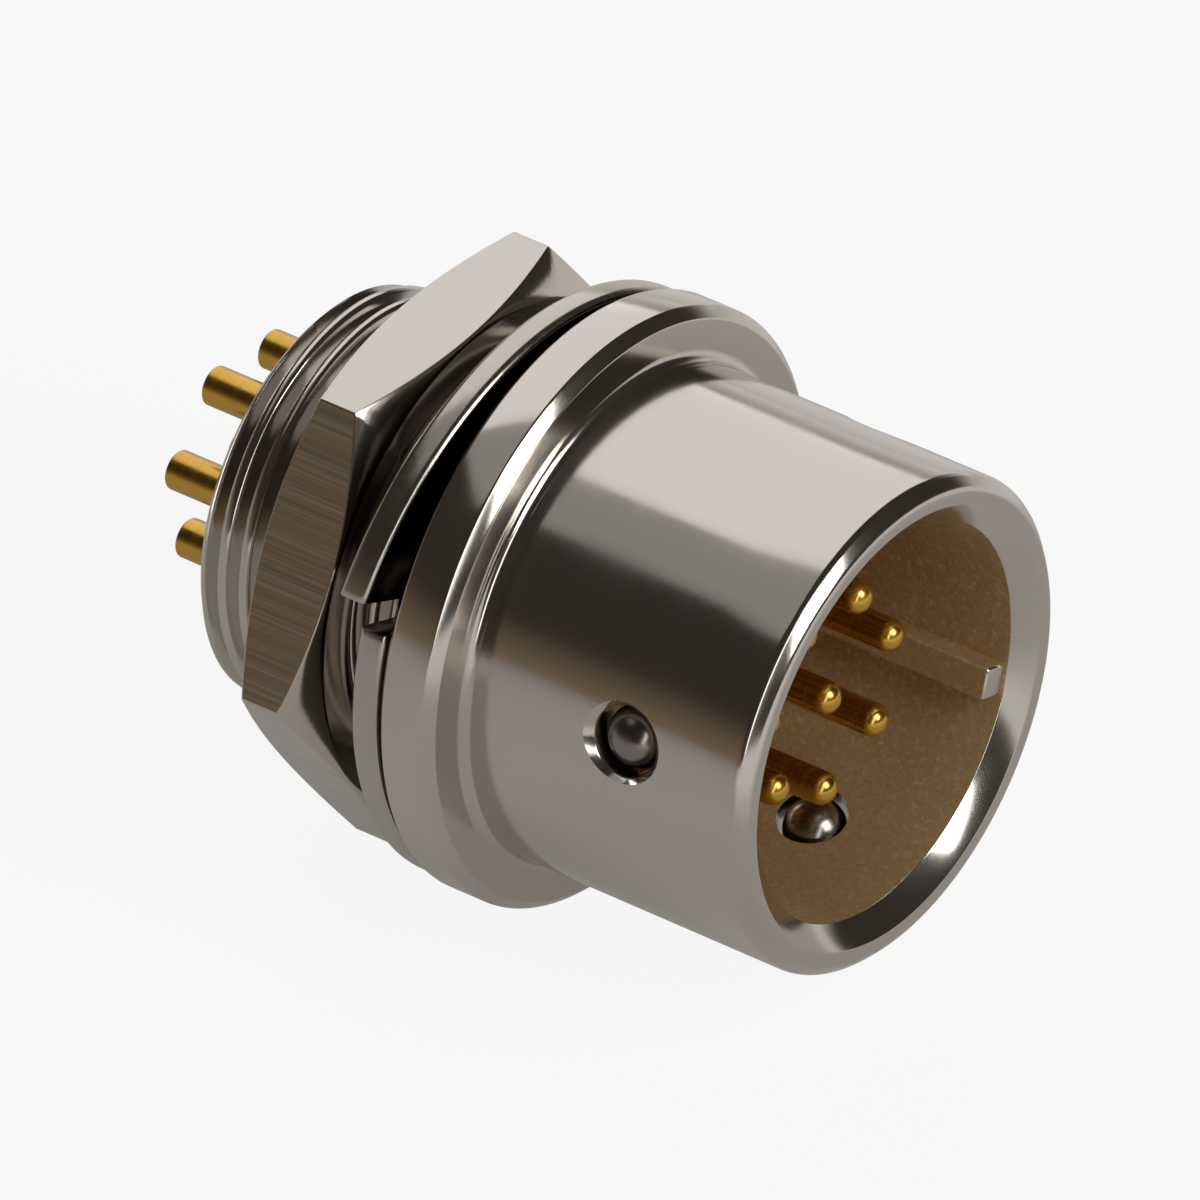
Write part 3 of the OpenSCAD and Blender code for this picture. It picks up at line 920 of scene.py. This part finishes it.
class CONNECTOR_OT_hex_nut(bpy.types.Operator):
    """Shapes the hexagon nut with its rounded-off corners and its bore"""
    bl_idname = "connector.hex_nut"
    bl_label = "Hexagon nut"

    def execute(self, context):
        settings = context.scene.connector
        n = settings.nut
        thickness = n.front_x - n.rear_x
        corner_r = n.flat_r / math.cos(math.pi / 6)
        middle = (n.front_x + n.rear_x) / 2
        select_only(None)
        bpy.ops.mesh.primitive_cylinder_add(vertices=6, radius=corner_r, depth=thickness + 2 * OVER,
                                            location=(middle, 0, 0), rotation=(0, math.pi / 2, 0))
        nut = named("hex_nut_nickel")
        bpy.ops.object.transform_apply(location=True, rotation=True, scale=True)
        corner = max(nut.data.vertices, key=lambda v: v.co.z).co
        put(nut, Matrix.Rotation(n.corner - math.atan2(-corner.y, corner.z), 4, "X"))
        chamfer_r = n.flat_r - n.chamfer_inset
        peak_r = chamfer_r + thickness / 2 / math.tan(n.chamfer)
        steps = 180
        cones = lathe("nut_cones", [
            (n.rear_x, 0), (n.rear_x, chamfer_r), (middle, peak_r),
            (n.front_x, chamfer_r), (n.front_x, 0)],
            steps=steps, closed=False)
        carve(nut, cones, "INTERSECT")
        lead_r = n.bore_r + n.lead + OVER
        bore = lathe("nut_bore", [
            (n.rear_x - OVER, 0), (n.rear_x - OVER, lead_r), (n.rear_x + n.lead, n.bore_r),
            (n.front_x - n.lead, n.bore_r), (n.front_x + OVER, lead_r), (n.front_x + OVER, 0)],
            steps=steps, closed=False)
        clean_up(carve(nut, bore))
        break_edges(nut, n.edge_break, steps=2, angle=math.radians(18))
        dress(nut, "nut", nickel_broached(settings.finish.nickel), "nickel_plate", "hex_nut")
        steady_shading(nut)
        # only the flats are broached, the faces and chamfers are turned
        leaves_flat = 0.1
        second_finish(nut, bpy.data.materials["nickel_plate_turned"],
                      lambda face: abs(face.normal.x) > leaves_flat)
        return {"FINISHED"}


class CONNECTOR_OT_stage(bpy.types.Operator):
    """Sets the floor, the studio light and the camera"""
    bl_idname = "connector.stage"
    bl_label = "Stage"

    def execute(self, context):
        settings = context.scene.connector
        self.floor(settings.finish.floor)
        self.lamps()
        self.world(context.scene)
        self.camera(context.scene, settings.stage)
        context.scene.view_settings.view_transform = "Standard"
        return {"FINISHED"}

    def floor(self, colour):
        """A wide pale floor, white to the camera and lit in reflections, with a soft shadow."""
        gap = 0.02 * MM
        select_only(None)
        bpy.ops.mesh.primitive_plane_add(size=6.0, location=(0, 0, CAD_BOX[0].z - gap))
        floor = named("studio_floor")
        material, tree = blank_material("studio_floor")
        path = add(tree, "ShaderNodeLightPath").outputs
        matt = add(tree, "ShaderNodeBsdfDiffuse", {"Color": colour})
        side = add(tree, "ShaderNodeSeparateXYZ", {"Vector": object_place(tree)}).outputs
        side = add(tree, "ShaderNodeMath", {0: side["X"], 1: side["Y"]}, operation="MAXIMUM")
        # reflections of the floor get brighter from 25 to 45 mm ahead of or behind the part
        glow = spread(tree, side.outputs[0], 0.58, 1.2, 0.025, 0.045)
        pale = add(tree, "ShaderNodeEmission", {"Color": linear("#dedcd8"), "Strength": glow})
        white = add(tree, "ShaderNodeEmission", {"Strength": 1.0})
        share = add(tree, "ShaderNodeMath", {0: path["Is Glossy Ray"], 1: 0.6},
                    operation="MULTIPLY")
        mirrored = add(tree, "ShaderNodeMixShader",
                       {0: share.outputs[0], 1: matt.outputs[0], 2: pale.outputs[0]})
        share = add(tree, "ShaderNodeMath", {0: path["Is Camera Ray"], 1: 0.9},
                    operation="MULTIPLY")
        mixed = add(tree, "ShaderNodeMixShader",
                    {0: share.outputs[0], 1: mirrored.outputs[0], 2: white.outputs[0]})
        add(tree, "ShaderNodeOutputMaterial", {"Surface": mixed.outputs[0]})
        floor.data.materials.append(material)

    def lamps(self):
        """A long softbox over the back with a dim flap beside it, a small box and a strip ahead."""
        back = math.radians(-35.5)
        along, across = 0.566, 0.824
        over_back = (-along, -across * math.sin(back), across * math.cos(back))
        clockwise = (0, -math.cos(back), -math.sin(back))
        self.softbox("softbox_back", over_back, clockwise, width=0.398, height=0.2, radiance=0.95)
        self.softbox("softbox_flap", over_back, clockwise, width=0.365, height=0.2, radiance=0.3,
                     shift=0.388)
        self.softbox("softbox_right", (0.82, -0.01, 0.57), (0, 1, 0), width=0.133, height=0.15,
                     radiance=6.0)
        self.softbox("softbox_strip", (0.735, -0.515, 0.415), (0, -0.62, -0.78), width=0.3,
                     height=0.05, radiance=2.4)

    def softbox(self, name, direction, along, width, height, radiance, shift=0.0):
        """A lamp that looks at the part, its width along a line and shifted along that line."""
        distance = 0.3
        lamp = bpy.data.lights.new(name, "AREA")
        lamp.shape = "RECTANGLE"
        lamp.size, lamp.size_y = width, height
        lamp.energy = radiance * math.pi * width * height
        box = bpy.data.objects.new(name, lamp)
        bpy.context.scene.collection.objects.link(box)
        ahead = Vector(direction).normalized()
        side = (Vector(along) - ahead * ahead.dot(Vector(along))).normalized()
        turn = Matrix((side, ahead.cross(side), ahead)).transposed()
        box.matrix_world = Matrix.Translation(ahead * distance + side * shift) @ turn.to_4x4()

    def world(self, scene):
        """A dark studio, brown low down and pale low down behind, that is white to the camera."""
        world = bpy.data.worlds.new("studio")
        scene.world = world
        world.use_nodes = True
        tree = world.node_tree
        tree.nodes.clear()
        path = add(tree, "ShaderNodeLightPath")
        place = add(tree, "ShaderNodeTexCoord").outputs["Generated"]
        place = add(tree, "ShaderNodeSeparateXYZ", {"Vector": place}).outputs
        ahead = spread(tree, place["X"], 0.0, 0.35, 0.0, 0.5)
        height = add(tree, "ShaderNodeMath", {0: place["Z"], 1: ahead}, operation="ADD")
        rise = add(tree, "ShaderNodeMapRange",
                   {"Value": height.outputs[0], "From Min": 0.0, "From Max": 0.35},
                   interpolation_type="SMOOTHSTEP")
        behind = spread(tree, place["Y"], 0.0, 1.0, 0.55, 0.9)
        low = blend(tree, behind, linear("#7a6a56"), linear("#e8e4de"))
        tone = blend(tree, rise.outputs["Result"], low, linear("#38342f"))
        dim = add(tree, "ShaderNodeBackground", {"Color": tone, "Strength": 1.0})
        white = add(tree, "ShaderNodeBackground", {"Color": (1, 1, 1, 1), "Strength": 1.0})
        mixed = add(tree, "ShaderNodeMixShader",
                    {0: path.outputs["Is Camera Ray"], 1: dim.outputs[0], 2: white.outputs[0]})
        add(tree, "ShaderNodeOutputWorld", {"Surface": mixed.outputs[0]})

    def camera(self, scene, stage):
        """A long lens at the picture's angle."""
        a, e = stage.azimuth, stage.elevation
        right = Vector((math.cos(a), math.sin(a), 0))
        ahead = Vector((-math.cos(e) * math.sin(a), math.cos(e) * math.cos(a), -math.sin(e)))
        up = right.cross(ahead)
        lens = bpy.data.cameras.new("camera")
        lens.lens = stage.lens
        lens.sensor_width = 36
        lens.clip_start, lens.clip_end = 0.05, 20
        camera = bpy.data.objects.new("camera", lens)
        scene.collection.objects.link(camera)
        place = (Vector((SHELL_HI.x, 0, 0)) - right * stage.right + up * stage.down
                 - ahead * stage.distance)
        turn = Matrix((right, up, -ahead)).transposed()
        camera.matrix_world = Matrix.Translation(place) @ turn.to_4x4()
        scene.camera = camera


class CONNECTOR_PT_panel(bpy.types.Panel):
    """Lists the steps that build the connector"""
    bl_idname = "CONNECTOR_PT_panel"
    bl_label = "Connector"
    bl_space_type = "VIEW_3D"
    bl_region_type = "UI"
    bl_category = "Connector"

    def draw(self, context):
        for step in STEPS:
            self.layout.operator(step.bl_idname)
        for entry in context.scene.connector.bl_rna.properties:
            if entry.type != "POINTER" or entry.identifier == "rna_type":
                continue
            box = self.layout.box()
            box.label(text=entry.name)
            values = getattr(context.scene.connector, entry.identifier)
            for size in values.bl_rna.properties:
                if size.identifier not in ("rna_type", "name"):
                    box.prop(values, size.identifier)


GROUPS = (ShellSizes, LockSizes, ThreadSizes, NutSizes, WasherSizes, ContactSizes, InsulatorSizes,
          RingSizes, Finishes, StageSizes, ConnectorSettings)
STEPS = (CONNECTOR_OT_shell, CONNECTOR_OT_thread, CONNECTOR_OT_lock_balls, CONNECTOR_OT_contacts,
         CONNECTOR_OT_insulators, CONNECTOR_OT_retaining_ring, CONNECTOR_OT_spring_washer,
         CONNECTOR_OT_hex_nut, CONNECTOR_OT_stage)


def register():
    """Adds the settings, the steps and the panel to Blender."""
    for kind in GROUPS + STEPS + (CONNECTOR_PT_panel,):
        bpy.utils.register_class(kind)
    bpy.types.Scene.connector = PointerProperty(type=ConnectorSettings)


def unregister():
    """Takes them out again."""
    del bpy.types.Scene.connector
    for kind in reversed(GROUPS + STEPS + (CONNECTOR_PT_panel,)):
        bpy.utils.unregister_class(kind)


def main():
    """Builds the connector and its stage."""
    register()
    bpy.ops.connector.shell()
    bpy.ops.connector.thread()
    bpy.ops.connector.lock_balls()
    bpy.ops.connector.contacts()
    bpy.ops.connector.insulators()
    bpy.ops.connector.retaining_ring()
    bpy.ops.connector.spring_washer()
    bpy.ops.connector.hex_nut()
    bpy.ops.connector.stage()


if __name__ == "__main__":
    main()
